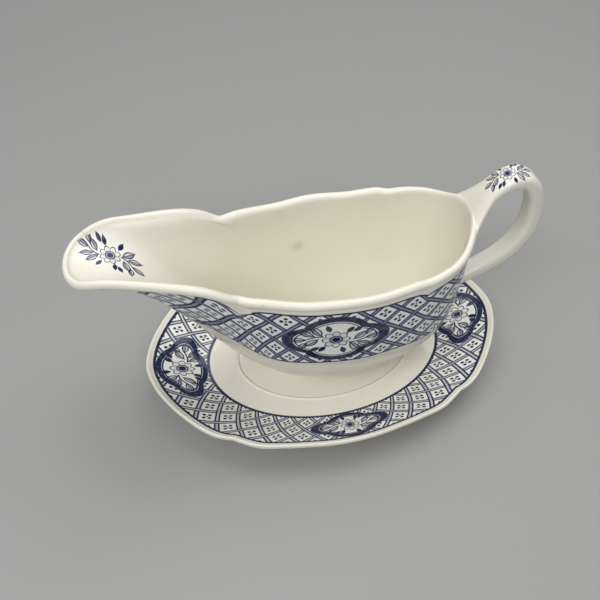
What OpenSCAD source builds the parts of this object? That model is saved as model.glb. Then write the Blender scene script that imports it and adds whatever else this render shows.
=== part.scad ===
// Earthenware gravy boat with a loop handle, standing on its own oval stand.
// Millimetres, +Z up. The handle points to +X and the pouring lip to -X.
// The origin is under the middle of the whole piece, on the table top.

/* [Boat] */
// Length of the rim from the pouring lip to the handle end
rim_len = 173; // [160:1:186]
// Widest breadth of the bowl between the crests of its rim
rim_breadth = 64; // [58:1:72]
// Height of the rim above the table along the sides of the bowl
rim_height = 90; // [84:1:98]
// How far the pouring lip rises above the sides of the bowl
lip_rise = 18.5; // [12:0.5:22]
// Radius of the rounded rim
rim_radius = 2.3; // [2:0.1:2.6]
// How far the crease between the pouring lip and the bowl pulls the rim inwards
crease_depth = 1.4; // [0.8:0.1:2.4]
// Thickness of the bowl's floor
floor_thickness = 4.4; // [3.6:0.2:5]

/* [Boat foot] */
// Length of the boat's foot ring
foot_len = 64; // [60:1:72]
// Breadth of the boat's foot ring
foot_breadth = 34; // [30:1:36]
// Height of the boat's foot ring
foot_height = 5; // [4:0.5:6.5]
// Width of the foot ring's flat land
foot_land = 4; // [3:0.5:5]

/* [Handle] */
// Breadth of the handle at its top
handle_breadth = 12; // [10:0.5:14]
// Part of its breadth that the handle keeps at its lower end
handle_taper = 0.76; // [0.7:0.02:0.9]

/* [Stand] */
// Length of the stand over its rim
stand_len = 186; // [178:1:196]
// Breadth of the stand over its rim
stand_breadth = 125; // [120:1:134]
// Height of the stand's rim above the table
stand_height = 22; // [19:0.5:25]
// Length of the well line, where the sloping border starts
well_len = 124; // [118:1:128]
// Breadth of the well line
well_breadth = 82; // [78:1:86]
// Height of the well's floor above the table
well_height = 8; // [7.5:0.1:8.5]
// Thickness of the stand
stand_thickness = 4.2; // [3.6:0.2:4.6]
// How far the stand sits from the middle of the piece, towards the handle
stand_shift = 4.7; // [2:0.1:7]

/* [Hidden] */
glaze = "#e9e2cd";
// Air left between the boat's foot and the well, so that they touch without sharing faces
seat_gap = 0.1;

// Points round the rim, and rings down the outer wall, over the rim and down the inner wall
round_steps = 96;
wall_steps = 15;
rim_steps = 6;
rim_half = rim_len / 2;
// The rim's middle, which puts the lip and the handle equally far from the origin
rim_mid = -17.4;

// Half-breadth of the rim as a part of half of rim_breadth, along the rim from lip (-1) to handle (1)
BREADTH = [[-1, 1.28], [-0.9, 0.99], [-0.76, 0.825], [-0.6, 0.77], [-0.24, 0.805], [0, 0.91],
           [0.26, 1.04], [0.52, 1.125], [0.74, 1.28], [0.88, 1.41], [1, 1.42]];
// Rise of the rim as a part of lip_rise: the lip, the soft lobes of the sides, the handle end
RISE = [[-1, 0.86], [-0.83, 1.07], [-0.67, 0.97], [-0.46, 0.75], [-0.36, 0.55], [-0.26, 0.235],
        [-0.15, 0.165], [0.05, 0.01], [0.23, -0.01], [0.44, -0.08], [0.61, -0.02], [0.68, -0.065],
        [0.75, -0.02], [0.86, 0.07], [0.94, 0.205], [1, 0.49]];
// Creases of the rim: place along the rim, depth as a part of crease_depth, width along the rim
CREASES = [[-0.26, 1, 0.035], [0.68, 0.3, 0.035]];

// Shape of the wall below the rim, as [fullness, turn]: sides, underside of the lip, handle end
SIDE_WALL = [4.2, 1.9];
LIP_WALL = [0.4, 1.46];
END_WALL = [5.5, 1.2];
// Stretch of the rim over which the handle end's wall changes into the lip's
lip_from = 0.27;
lip_to = -0.9;
// Drop of the outer wall's start under the pouring lip, below the rounded rim
lip_tuck = 0.8;
// How closely the wall's rings crowd towards its base, where 1 spaces them evenly
ring_crowd = 1.6;
// How far the outer wall starts outside the rim's crest, and the inset of the bowl's floor
wall_out = 1.7;
floor_inset = 2;

bowl_base = well_height + seat_gap + foot_height;
// How much the foot ring's lower third is larger than the rest
foot_flare = 2;

// Outer and inner edges of the handle in the XZ plane, from the rim round to the lower wall.
// They are measured from the crest of the rim at the handle end.
HANDLE_OUTER = [[-1.7, -0.5], [0.8, 3.5], [5.3, 9.2], [10.3, 14.1], [16.8, 16.9], [23.8, 15.1],
                [30.3, 8.4], [34.6, -1.1], [36.6, -11.1], [36.5, -19.6], [34.1, -28.6], [29.6, -36.6],
                [23.3, -42.8], [15.3, -47.9], [6.8, -51.8], [-2.7, -55.6]];
HANDLE_INNER = [[-0.7, -12.1], [3.8, -3.6], [8.3, 3.7], [13.3, 7.9], [17.8, 8.9], [22.3, 6.9], [26, 0.9],
                [28, -6.6], [28.6, -14.1], [27.8, -21.3], [25.1, -28.3], [20.8, -34.1], [14.8, -38.9],
                [8.3, -42.3], [2.8, -44.5], [-2.2, -46.1]];
handle_rings = 48;
handle_sides = 18;
// Flare of the handle's breadth where it joins the bowl: extra part, and how fast it dies away
flare_top = 0.55;
flare_low = 0.4;
flare_run = 0.06;
// Squareness of the handle's section
handle_square = 2.4;

// Radius of the stand's outline by angle in degrees, drawn on a stand of the length and breadth given
// here: the end lobes run up to the notch, and the side lobes start from it
drawn_len = 186.4;
drawn_breadth = 125.2;
notch_angle = 40.3;
notch_radius = 75.2;
END_LOBE = [[-8, 91.2], [0, drawn_len / 2], [8, 91.2], [16, 87.6], [24, 84], [31, 81.2], [36, 78.6],
            [notch_angle, notch_radius]];
SIDE_LOBE = [[notch_angle, notch_radius], [44, 74], [50, 72.1], [60, 67.4], [72, 64],
             [90, drawn_breadth / 2], [108, 64]];
// Points round the stand, and steps from the middle of an end lobe to the notch
stand_steps = 120;
notch_step = 13;
stand_foot_len = 92;
stand_foot_breadth = 62;
stand_foot_land = 4;

function mix(a, b, k) = a + (b - a) * k;
function ease(k) = let (c = min(max(k, 0), 1)) c * c * (3 - 2 * c);

// Smooth curve through stations [place, value], by cubic pieces with shared slopes
function piece(s, x, i = 0) = i >= len(s) - 2 || x < s[i + 1][0] ? i : piece(s, x, i + 1);
function slope(s, i) =
    let (a = max(i - 1, 0), b = min(i + 1, len(s) - 1)) (s[b][1] - s[a][1]) / (s[b][0] - s[a][0]);
function curve(s, x) =
    let (i = piece(s, x), h = s[i + 1][0] - s[i][0], u = min(max((x - s[i][0]) / h, 0), 1))
    (2 * u ^ 3 - 3 * u ^ 2 + 1) * s[i][1] + (u ^ 3 - 2 * u ^ 2 + u) * h * slope(s, i)
    + (3 * u ^ 2 - 2 * u ^ 3) * s[i + 1][1] + (u ^ 3 - u ^ 2) * h * slope(s, i + 1);

// Crest of the boat's rim at angle t, where 0 is the handle end and 180 the pouring lip
function crease(c, i = 0) =
    i == len(CREASES) ? 0
    : CREASES[i][1] * exp(-abs(c - CREASES[i][0]) / CREASES[i][2]) + crease(c, i + 1);
function rim_point(t) =
    let (c = cos(t), dent = crease_depth * crease(c))
    [rim_mid + rim_half * c,
     rim_breadth / 2 * curve(BREADTH, c) * sin(t) - dent * sign(sin(t)),
     rim_height + lip_rise * curve(RISE, c)];
// Outward direction of the rim in plan
function rim_out(t) =
    let (d = rim_point(t + 0.05) - rim_point(t - 0.05), l = norm([d[0], d[1]])) [d[1] / l, -d[0] / l, 0];

// Part of a wall's reach left at depth d, 0 at the rim and 1 at the base: (1 - d^fullness)^(1/turn)
function reach(shape, d) = (1 - d ^ shape[0]) ^ (1 / shape[1]);
// Point of a wall at angle t and depth d, out from the rim's crest at its top. Its flat base is an
// oval of half-axes a and b at height z. The length shrinks as the end or the lip does, and the
// breadth shrinks as the sides do.
function wall_point(t, d, out, tuck, a, b, z) =
    let (c = cos(t), top = rim_point(t) + out * rim_out(t), end = ease((c - lip_to) / (lip_from - lip_to)))
    [mix(stand_shift + a * c, top[0], mix(reach(LIP_WALL, d), reach(END_WALL, d), end)),
     mix(b * sin(t), top[1], reach(SIDE_WALL, d)),
     mix(top[2] - rim_radius - tuck * (1 - end), z, d)];

// Depth of wall ring k, with the rings closing up towards the base
function ring_depth(k) = 1 - (1 - k / wall_steps) ^ ring_crowd;
function outer_ring(k) =
    [for (i = [0:round_steps - 1]) let (t = 360 * i / round_steps)
        wall_point(t, ring_depth(k), wall_out, lip_tuck, foot_len / 2, foot_breadth / 2, bowl_base)];
function inner_ring(k) =
    [for (i = [0:round_steps - 1]) let (t = 360 * i / round_steps)
        wall_point(t, ring_depth(k), -rim_radius, 0, foot_len / 2 - floor_inset,
                   foot_breadth / 2 - floor_inset, bowl_base + floor_thickness)];
// Ring of the rounded rim at angle e over its crest, 0 outside and 180 inside
function rim_ring(e) =
    [for (i = [0:round_steps - 1]) let (t = 360 * i / round_steps)
        rim_point(t) + rim_radius * cos(e) * rim_out(t) + [0, 0, rim_radius * (sin(e) - 1)]];

// Closed solid through rings of equal length, with a flat face on the first and the last ring
module skin(rings) {
    n = len(rings[0]);
    m = len(rings);
    points = [for (ring = rings) each ring];
    sides = [for (j = [0:m - 2], i = [0:n - 1]) let (a = j * n + i, b = j * n + (i + 1) % n)
        each [[a, a + n, b], [b, a + n, b + n]]];
    first = [for (i = [0:n - 1]) i];
    last = [for (i = [n - 1:-1:0]) (m - 1) * n + i];
    polyhedron(points, concat(sides, [first, last]));
}

// Oval of the given length and breadth
module oval(length, breadth) {
    polygon([for (i = [0:round_steps - 1])
        [length / 2 * cos(360 * i / round_steps), breadth / 2 * sin(360 * i / round_steps)]]);
}
module oval_ring(length, breadth, land) {
    difference() {
        oval(length, breadth);
        oval(length - 2 * land, breadth - 2 * land);
    }
}

module boat_bowl() {
    color(glaze)
    skin(concat([for (k = [wall_steps:-1:0]) outer_ring(k)],
                [for (j = [1:rim_steps - 1]) rim_ring(180 * j / rim_steps)],
                [for (k = [0:wall_steps]) inner_ring(k)]));
}

module boat_foot_ring() {
    color(glaze)
    translate([stand_shift, 0, well_height + seat_gap]) {
        linear_extrude(foot_height)
            oval_ring(foot_len - foot_flare, foot_breadth - foot_flare, foot_land - foot_flare / 2);
        linear_extrude(foot_height / 3) oval_ring(foot_len, foot_breadth, foot_land);
    }
}

// Point of the handle's outer or inner edge at part f of its run, from the rim's end
function edge_at(edge, f) =
    [curve([for (i = [0:len(edge) - 1]) [i, edge[i][0]]], f * (len(edge) - 1)), 0,
     curve([for (i = [0:len(edge) - 1]) [i, edge[i][1]]], f * (len(edge) - 1))];
function power(v, e) = sign(v) * abs(v) ^ e;
function handle_ring(f) =
    let (outer = rim_point(0) + edge_at(HANDLE_OUTER, f), inner = rim_point(0) + edge_at(HANDLE_INNER, f))
    let (flare = flare_top * exp(-f / flare_run) + flare_low * exp(-(1 - f) / flare_run))
    let (half = handle_breadth / 2 * (mix(1, handle_taper, ease(f)) + flare))
    [for (i = [0:handle_sides - 1]) let (u = 360 * i / handle_sides)
        (outer + inner) / 2 + (outer - inner) / 2 * power(sin(u), 2 / handle_square)
        + [0, half * power(cos(u), 2 / handle_square), 0]];

module boat_handle() {
    color(glaze)
    skin([for (j = [handle_rings:-1:0]) handle_ring(j / handle_rings)]);
}

// Radius of the stand's outline and of its well line at angle t
function fold(t) = let (a = abs(t % 360), b = a > 180 ? 360 - a : a) b > 90 ? 180 - b : b;
function outline_radius(t) = let (a = fold(t)) curve(a < notch_angle ? END_LOBE : SIDE_LOBE, a);
function outline_point(t) =
    outline_radius(t) * [stand_len / drawn_len * cos(t), stand_breadth / drawn_breadth * sin(t)];
function well_point(t) =
    let (r = 1 / norm([cos(t) * 2 / well_len, sin(t) * 2 / well_breadth])) r * [cos(t), sin(t)];
// Steps round the stand fall on the four notches
function stand_angle(i) =
    let (n = stand_steps / 4, s = notch_step, quarter = floor(i / n), k = i % n)
    let (first = quarter % 2 == 0, a = first ? k : n - k)
    let (b = a <= s ? notch_angle * a / s : mix(notch_angle, 90, (a - s) / (n - s)))
    90 * quarter + (first ? b : 90 - b);
// Ring of the stand: place k is -1 at the middle, 0 at the well line and 1 at the rim
function stand_ring(k, z) =
    [for (i = [0:stand_steps - 1]) let (t = stand_angle(i), w = well_point(t), o = outline_point(t))
        let (p = k < 0 ? (1 + k) * w : mix(w, o, k)) [stand_shift + p[0], p[1], z]];

// Section of the stand, from the middle of the well over the rim and back underneath
well_under = well_height - stand_thickness;
rim_rise = stand_height - well_height;
STAND_SECTION = [
    [-0.25, well_height], [-0.12, well_height + 0.25], [0, well_height + 0.7],
    [0.08, well_height + 1.3], [0.2, well_height + 0.18 * rim_rise], [0.4, well_height + 0.38 * rim_rise],
    [0.6, well_height + 0.58 * rim_rise], [0.8, well_height + 0.79 * rim_rise],
    [0.91, well_height + 0.92 * rim_rise], [0.945, stand_height - 0.3], [0.965, stand_height],
    [0.985, stand_height - 0.2], [0.997, stand_height - 0.8], [1, stand_height - 1.6],
    [0.996, stand_height - 2.4], [0.975, stand_height - 3.4],
    [0.8, well_under + 0.79 * rim_rise], [0.6, well_under + 0.57 * rim_rise],
    [0.4, well_under + 0.36 * rim_rise], [0.2, well_under + 0.16 * rim_rise],
    [0.05, well_under + 0.6], [-0.1, well_under]];

module stand_dish() {
    color(glaze)
    skin([for (s = [len(STAND_SECTION) - 1:-1:0]) stand_ring(STAND_SECTION[s][0], STAND_SECTION[s][1])]);
}

module stand_foot_ring() {
    color(glaze)
    translate([stand_shift, 0, 0])
    linear_extrude(well_under) oval_ring(stand_foot_len, stand_foot_breadth, stand_foot_land);
}

boat_bowl();
boat_foot_ring();
boat_handle();
stand_dish();
stand_foot_ring();
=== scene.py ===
# %% [markdown]
# # A gravy boat on its stand
#
# This lesson dresses a cream earthenware gravy boat: a cast bowl with a pouring lip and a loop
# handle, standing loose on an oval stand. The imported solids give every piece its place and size.
# Each one is rebuilt here as a smooth surface from the same formulas, at a finer step, and then
# glazed and printed with shader nodes.

# %% Load the frame
import math
import bmesh
import bpy
import numpy as np
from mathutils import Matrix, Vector


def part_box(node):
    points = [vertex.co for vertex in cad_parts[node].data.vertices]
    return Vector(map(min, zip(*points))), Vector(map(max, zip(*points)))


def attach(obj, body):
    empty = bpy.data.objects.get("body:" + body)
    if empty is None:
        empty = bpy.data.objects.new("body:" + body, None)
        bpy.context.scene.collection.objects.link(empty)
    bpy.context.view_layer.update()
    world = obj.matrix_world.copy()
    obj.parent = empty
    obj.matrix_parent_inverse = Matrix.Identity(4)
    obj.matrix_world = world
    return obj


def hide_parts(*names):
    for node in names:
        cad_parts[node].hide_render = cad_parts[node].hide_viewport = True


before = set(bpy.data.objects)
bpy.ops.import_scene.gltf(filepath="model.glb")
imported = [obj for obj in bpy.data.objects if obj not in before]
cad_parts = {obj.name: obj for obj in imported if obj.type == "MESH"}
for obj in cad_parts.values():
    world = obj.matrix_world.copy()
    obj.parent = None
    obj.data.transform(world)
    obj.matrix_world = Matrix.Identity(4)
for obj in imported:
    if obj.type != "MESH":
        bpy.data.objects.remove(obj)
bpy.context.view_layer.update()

MM = 0.001


# %% [markdown]
# ## The camera
#
# The photograph looks down on the boat from its front left. A camera is placed by an aim point,
# a distance and two angles, which is easier to adjust than a position and a rotation. The lens
# is in pixels of a 600 pixel frame, and one line turns it into Blender's millimetres.

# %% Camera
FRAME_PX = 600
LENS_PX = 640
SENSOR_MM = 36
AIM = np.array([-8.42, 0.0, 53.34]) * MM
DISTANCE = 308.7 * MM
NEAREST = 10 * MM
AZIMUTH = math.radians(-13.28)
ELEVATION = math.radians(52.5)


def add_object(name, data):
    """New object in the scene, at the origin, unturned and unscaled."""
    made = bpy.data.objects.new(name, data)
    bpy.context.scene.collection.objects.link(made)
    return made


def add_camera():
    """Camera at aim + distance * (sin a cos e, -cos a cos e, sin e), looking back at the aim."""
    data = bpy.data.cameras.new("camera")
    data.sensor_width = SENSOR_MM
    data.lens = LENS_PX / FRAME_PX * SENSOR_MM
    data.clip_start = NEAREST
    camera = add_object("camera", data)
    flat = math.cos(ELEVATION)
    away = np.array([math.sin(AZIMUTH) * flat, -math.cos(AZIMUTH) * flat, math.sin(ELEVATION)])
    camera.location = AIM + DISTANCE * away
    camera.rotation_euler = (math.pi / 2 - ELEVATION, 0.0, AZIMUTH)
    bpy.context.scene.camera = camera
    return camera


print("camera at", [round(v, 4) for v in add_camera().location])


# %% [markdown]
# ## Curves and ramps
#
# A potter works to a few measured points and lets the hand join them. The shapes here do the same:
# short lists of stations joined by cubics, and ramps that fade one form into the next. Blender's
# own curves could draw them one at a time, but these functions work on whole arrays at once.

# %% Curves and ramps
def mix(a, b, k):
    """a at k = 0, b at k = 1, and in proportion between and beyond."""
    return a + (b - a) * k


def ramp(x, start, end):
    """Smooth step of x, from 0 at start to 1 at end: 3k^2 - 2k^3, held outside."""
    k = np.clip((x - start) / (end - start), 0, 1)
    return k * k * (3 - 2 * k)


def cubic(u, start, leave, end, arrive):
    """Cubic from start to end at parts u of its way, with the direction leave at its start and
    arrive at its end."""
    first = (2 * u**3 - 3 * u**2 + 1) * start + (u**3 - 2 * u**2 + u) * leave
    return first + (3 * u**2 - 2 * u**3) * end + (u**3 - u**2) * arrive


def curve(stations, x):
    """Smooth curve through (place, value) stations: cubics, each with the slope of the line that
    joins a station's two neighbours."""
    place, value = np.array(stations, float).T
    number = np.arange(len(place))
    low, high = np.maximum(number - 1, 0), np.minimum(number + 1, len(place) - 1)
    slope = (value[high] - value[low]) / (place[high] - place[low])
    i = np.clip(np.searchsorted(place, x, side="right") - 1, 0, len(place) - 2)
    h = place[i + 1] - place[i]
    u = np.clip((x - place[i]) / h, 0, 1)
    return cubic(u, value[i], h * slope[i], value[i + 1], h * slope[i + 1])


def path(stations, part):
    """Curve through points at parts of its run. It may turn back, so each coordinate is a curve by
    the station's number."""
    number = np.arange(len(stations))
    return [curve(np.stack([number, v], -1), part * number[-1]) for v in np.array(stations).T]


def spaced(stretches):
    """Equal steps over each stretch of (from, to, number of steps), without the last end."""
    return np.concatenate([np.linspace(a, b, n, endpoint=False) for a, b, n in stretches])


def run_length(points, axis):
    """Distance along rows of points, starting from 0."""
    step = np.linalg.norm(np.diff(points, axis=axis), axis=-1)
    pad = [(0, 0)] * step.ndim
    pad[axis] = (1, 0)
    return np.cumsum(np.pad(step, pad), axis=axis)


print("a ramp in quarters:", ramp(np.linspace(0, 1, 5), 0, 1))


# %% [markdown]
# ## Surfaces from rings
#
# A potter's shapes are stacks of rings: the bowl, the handle and the stand all are. So one helper
# turns an array of rings into a mesh, with no loop over the points. It also lays two UV maps.
# The first, `print`, holds distances along the surface in millimetres, and the blue print is drawn
# on it. The second spreads the whole skin over one square, in two strips, for baking.

# %% Ring faces
PRINT_MAP, BAKE_MAP = "print", "OFBake"
BAKE_EDGE = 0.004


def seam_closed(rings):
    """The rings with their first column repeated at the end."""
    return np.concatenate([rings, rings[:, :1]], axis=1)


def bake_rows(room, caps):
    """Heights of the rows on the bake map, from caps to 1 - caps, by the room that each step needs."""
    return caps + (1 - 2 * caps) * np.concatenate([[0], np.cumsum(room)]) / room.sum()


def bake_place(col, strip, height, half):
    """Place on the bake map: columns run across, and each half of them has a strip of its own."""
    across = BAKE_EDGE + (1 - 2 * BAKE_EDGE) * (col - strip * half) / half
    up = (strip + BAKE_EDGE + (1 - 2 * BAKE_EDGE) * height) / 2
    return np.stack([across, up], -1)


def wall_faces(rings, print_map, share, closed_section):
    """Quads between neighbouring rings: their corners' points, and places on both maps."""
    rows, columns = rings.shape[:2]
    row, col = np.meshgrid(np.arange(rows - 1 + closed_section), np.arange(columns), indexing="ij")
    row = np.stack([row, row, row + 1, row + 1], -1).reshape(-1, 4)
    strip = col.reshape(-1, 1) // (columns // 2)
    col = np.stack([col, col + 1, col + 1, col], -1).reshape(-1, 4)
    bake = bake_place(col, strip, share[row], columns // 2)
    return row % rows * columns + col % columns, print_map[row, col], bake


def cap_faces(rings, print_map, share, last):
    """Fan of triangles round a middle point that closes the first ring, or the last one."""
    rows, columns = rings.shape[:2]
    ring = (rows - 1) * last
    col = np.arange(columns)[:, None]
    pair = np.hstack([col + 1 - last, col + last])
    points = np.hstack([ring * columns + pair % columns, np.full_like(col, rows * columns + last)])
    edge = print_map[ring][pair]
    prints = np.concatenate([edge, edge.mean(1, keepdims=True)], 1)
    place = np.hstack([pair, pair.mean(1, keepdims=True)])
    height = np.array([share[ring], share[ring], last])
    return points, prints, bake_place(place, col // (columns // 2), height, columns // 2)


# %% [markdown]
# A mesh is filled fastest in whole arrays: points, then face corners, then where each face starts.
# Every piece is closed, so its volume tells at once whether its faces point outwards. The finished
# piece then takes over from the solid that it covers, with that solid's body.

# %% Ring meshes
ML_PER_M3 = 1e6


def clay_volume(mesh):
    """Volume inside a mesh in millilitres, above 0 where the faces point outwards."""
    solid = bmesh.new()
    solid.from_mesh(mesh)
    volume = solid.calc_volume(signed=True) * ML_PER_M3
    solid.free()
    return volume


def ring_piece(name, rings, print_map, share, closed_section=False):
    """Closed mesh through rings of shape (rows, columns, 3), in millimetres. Columns always close on
    themselves; rows close too on a ring-shaped piece, and otherwise end in two flat caps.
    print_map has one column more than the rings, for the seam. share is each row's height on the
    bake map, from 0 to 1."""
    faces = [wall_faces(rings, print_map, share, closed_section)]
    points = [rings.reshape(-1, 3)]
    if not closed_section:
        faces += [cap_faces(rings, print_map, share, last) for last in (0, 1)]
        points += [rings[:1].mean(1), rings[-1:].mean(1)]
    corners, prints, bakes = zip(*faces)
    sides = np.concatenate([np.full(len(part), part.shape[1]) for part in corners])
    mesh = bpy.data.meshes.new(name)
    mesh.vertices.add(sum(len(part) for part in points))
    mesh.vertices.foreach_set("co", (np.concatenate(points) * MM).ravel())
    mesh.loops.add(int(sides.sum()))
    mesh.loops.foreach_set("vertex_index", np.concatenate([part.ravel() for part in corners]))
    mesh.polygons.add(len(sides))
    mesh.polygons.foreach_set("loop_start", np.cumsum(sides) - sides)
    mesh.polygons.foreach_set("use_smooth", np.ones(len(sides), bool))
    for title, places in ((PRINT_MAP, prints), (BAKE_MAP, bakes)):
        layer = mesh.uv_layers.new(name=title)
        places = np.concatenate([part.ravel() for part in places])
        layer.uv.foreach_set("vector", places.astype(np.float32))
    mesh.update(calc_edges=True)
    mesh.validate()
    print(name, len(mesh.polygons), "faces,", round(clay_volume(mesh), 1), "ml of clay")
    return add_object(name, mesh)


def stand_in(piece, node, body):
    """The piece takes the CAD node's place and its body."""
    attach(piece, body)
    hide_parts(node)


# %% [markdown]
# ## The rim
#
# Everything on the boat hangs from its wavy rim. Seen from above it is a long oval that narrows to
# the pouring lip; seen from the side it rises at the lip and at the handle. An oval could be bent by
# hand, but two short lists of stations, for its breadth and its rise, keep it even on both sides.
# Where the lip and the handle end meet the sides, a crease pulls the rim inwards, and the angles
# are spaced so that a point falls on each crease.

# %% Rim
RIM_LEN, RIM_BREADTH, RIM_HEIGHT = 173, 64, 90
RIM_MID = -17.4
LIP_RISE = 18.5
BREADTH = [(-1, 1.28), (-0.9, 0.99), (-0.76, 0.825), (-0.6, 0.77), (-0.24, 0.805), (0, 0.91),
           (0.26, 1.04), (0.52, 1.125), (0.74, 1.28), (0.88, 1.41), (1, 1.42)]
RISE = [(-1, 0.86), (-0.83, 1.07), (-0.67, 0.97), (-0.46, 0.75), (-0.36, 0.55), (-0.26, 0.235),
        (-0.15, 0.165), (0.05, 0.01), (0.23, -0.01), (0.44, -0.08), (0.61, -0.02), (0.68, -0.065),
        (0.75, -0.02), (0.86, 0.07), (0.94, 0.205), (1, 0.49)]
CREASE_DEPTH, CREASE_SOFT = 1.4, 0.02
# Place along the boat, part of the depth, and width of each crease
CREASES = [(-0.26, 1, 0.035), (0.68, 0.3, 0.035)]
LIP_CREASE, END_CREASE = (math.degrees(math.acos(at)) for at, part, width in CREASES)
RIM_STEPS = [(0, END_CREASE, 60), (END_CREASE, LIP_CREASE, 100), (LIP_CREASE, 180, 96)]
NUDGE = 0.001


def rim_angles():
    """Angles round the rim: the steps of one side, then the same again in mirror image."""
    side = spaced(RIM_STEPS)
    return np.radians(np.concatenate([side, [180], 360 - side[:0:-1]]))


def creases(c, depth, soft=0.0):
    """Pull of the creases at places c along the boat: depth * part * exp(-r / width), summed, where r
    is |c - place|, rounded off near 0 by soft."""
    return depth * sum(part * np.exp((soft - np.hypot(c - at, soft)) / width)
                       for at, part, width in CREASES)


def rim_crest(t, crease_depth=CREASE_DEPTH):
    """Crest of the rim at angle t: an oval whose breadth and height follow the stations, pulled in
    at the creases."""
    c, s = np.cos(t), np.sin(t)
    pull = creases(c, crease_depth, CREASE_SOFT) * np.sign(s)
    y = RIM_BREADTH / 2 * curve(BREADTH, c) * s - pull
    return np.stack([RIM_MID + RIM_LEN / 2 * c, y, RIM_HEIGHT + LIP_RISE * curve(RISE, c)], -1)


def rim_outward(t, crease_depth):
    """Direction square to the rim in plan: its tangent turned by a right angle."""
    d = rim_crest(t + NUDGE, crease_depth) - rim_crest(t - NUDGE, crease_depth)
    out = np.stack([d[..., 1], -d[..., 0], np.zeros_like(t)], -1)
    return out / np.linalg.norm(out, axis=-1, keepdims=True)


ANGLES = rim_angles()
LENGTHWISE = np.cos(ANGLES)
rim_heights = rim_crest(ANGLES)[:, 2]
print("rim height from", round(rim_heights.min(), 1), "to", round(rim_heights.max(), 1), "mm")


# %% [markdown]
# ## The bowl
#
# The bowl is one cast shell. Its outer wall drops from the rim to an oval base, and its inner wall
# runs down to a flat floor. A lathe shape would be round, so the wall shrinks by two rules at once:
# its breadth as the sides do, its length as the lip and the handle end do.

# %% Bowl walls
# Fullness and turn of each wall
SIDE_WALL, LIP_WALL, END_WALL = (4.2, 1.9), (0.4, 1.46), (5.5, 1.2)
LIP_ZONE = (-0.9, 0.27)
LIP_TUCK = 0.8
RIM_RADIUS = 2.3
foot_low, foot_high = (np.array(corner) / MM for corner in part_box("boat_foot_ring"))
FOOT_MID = float(foot_low[0] + foot_high[0]) / 2
FOOT_LEN, FOOT_BREADTH = (float(v) for v in (foot_high - foot_low)[:2])
BOWL_BASE = float(foot_high[2])


def reach(shape, d):
    """Part of a wall's reach left at depth d: (1 - d^fullness)^(1 / turn)."""
    return np.maximum(1 - d ** shape[0], 0) ** (1 / shape[1])


def wall(d, crease_depth, fold, out, tuck, inset, base):
    """Rings of a wall at depths d, 0 at the rim and 1 at the base. The top lies out from the crest,
    and its creases die away over the depth fold. The base is the foot's oval less inset. x, y and z
    each mix top and base by their own reach."""
    d = np.asarray(d)[:, None]
    out = np.broadcast_to(out, ANGLES.shape)[:, None]
    plain, creased = (rim_crest(ANGLES, depth) + out * rim_outward(ANGLES, depth)
                      for depth in (0, crease_depth))
    top = plain + ramp(d, fold, 0)[..., None] * (creased - plain)
    end = ramp(LENGTHWISE, *LIP_ZONE)
    x_reach = mix(reach(LIP_WALL, d), reach(END_WALL, d), end)
    x = mix(FOOT_MID + (FOOT_LEN / 2 - inset) * LENGTHWISE, top[..., 0], x_reach)
    y = mix((FOOT_BREADTH / 2 - inset) * np.sin(ANGLES), top[..., 1], reach(SIDE_WALL, d))
    z = mix(top[..., 2] - RIM_RADIUS - tuck * (1 - end), base, d)
    return np.stack([x, y, z], -1)


print("bowl base at", round(BOWL_BASE, 2), "mm, foot", round(FOOT_LEN, 1), "by", round(FOOT_BREADTH, 1))


# %% [markdown]
# The rim ends in a fat round bead, which is thinner on the inside at the lip and at the handle. The
# outside, the bead and the inside could be three pieces, but joints would show in a glossy glaze. So
# the whole skin is one grid with no seam in it, and averaging with the neighbours blends the bead
# into the walls and rounds off the shoulder between the lip and the side.

# %% Bowl skin
BEAD_OUT = 1.99
BEAD_IN, BEAD_IN_ENDS = 2.3, 1.1
BEAD_LIP, BEAD_END = (-1, -0.4), (1, 0.6)
BEAD_LOW = -40
BEAD_PASSES = 10
WALL_ROWS, BEAD_ROWS, INNER_ROWS = 72, 26, 64
WALL_OUT, WALL_START = 1.7, 0.022
RIM_CROWD, BASE_CROWD = 0.4, 1.5
OUTER_FOLD, INNER_FOLD = 0.2, 0.08
FLOOR_INSET, FLOOR_THICKNESS = 2, 4.4
# Depths or bead angles over which the softening sets in
OUTER_SOFT, BEAD_SOFT, INNER_SOFT = (0.08, 0), (70, 130), (0.3, 0.15)
OUTER_SOFT_PART = 0.5
# Depths, and places from the lip and from the side, over which the shoulder sets in
SHOULDER_DEPTH, SHOULDER_LIP, SHOULDER_SIDE = (0.06, 0.36), (-0.95, -0.65), (0.4, 0)
SHOULDER_PASSES, SHOULDER_STEP = 60, 4
bead_inward = mix(BEAD_IN_ENDS, BEAD_IN, ramp(LENGTHWISE, *BEAD_LIP) * ramp(LENGTHWISE, *BEAD_END))


def bead(e, crease_depth):
    """Rings of the rounded rim at angles e over its crest, 0 outside and pi inside: an ellipse that is
    RIM_RADIUS high and has its own half-width on each side of the crest."""
    e = np.asarray(e)[:, None, None]
    half = np.where(np.cos(e) > 0, BEAD_OUT, bead_inward[:, None])
    aside = half * np.cos(e) * rim_outward(ANGLES, crease_depth)
    return rim_crest(ANGLES, crease_depth) + aside + RIM_RADIUS * (np.sin(e) - 1) * np.array([0, 0, 1.0])


def crowded(rows, start=0.0):
    """Depths from start to 1 that close up towards the rim and more so towards the base: at equal
    steps v, 1 - (1 - start) * (1 - v * (0.4 + 0.6 v))^1.5."""
    v = np.linspace(0, 1, rows)
    return 1 - (1 - start) * (1 - v * mix(RIM_CROWD, 1, v)) ** BASE_CROWD


def softened(rings, weight, times, axis, step=1):
    """Grid drawn towards the mean of its neighbours along an axis, again and again, by its weights."""
    for _ in range(times):
        mean = (np.roll(rings, step, axis) + np.roll(rings, -step, axis)) / 2
        rings = rings + weight[..., None] * (mean - rings) / 2
    return rings


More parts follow.
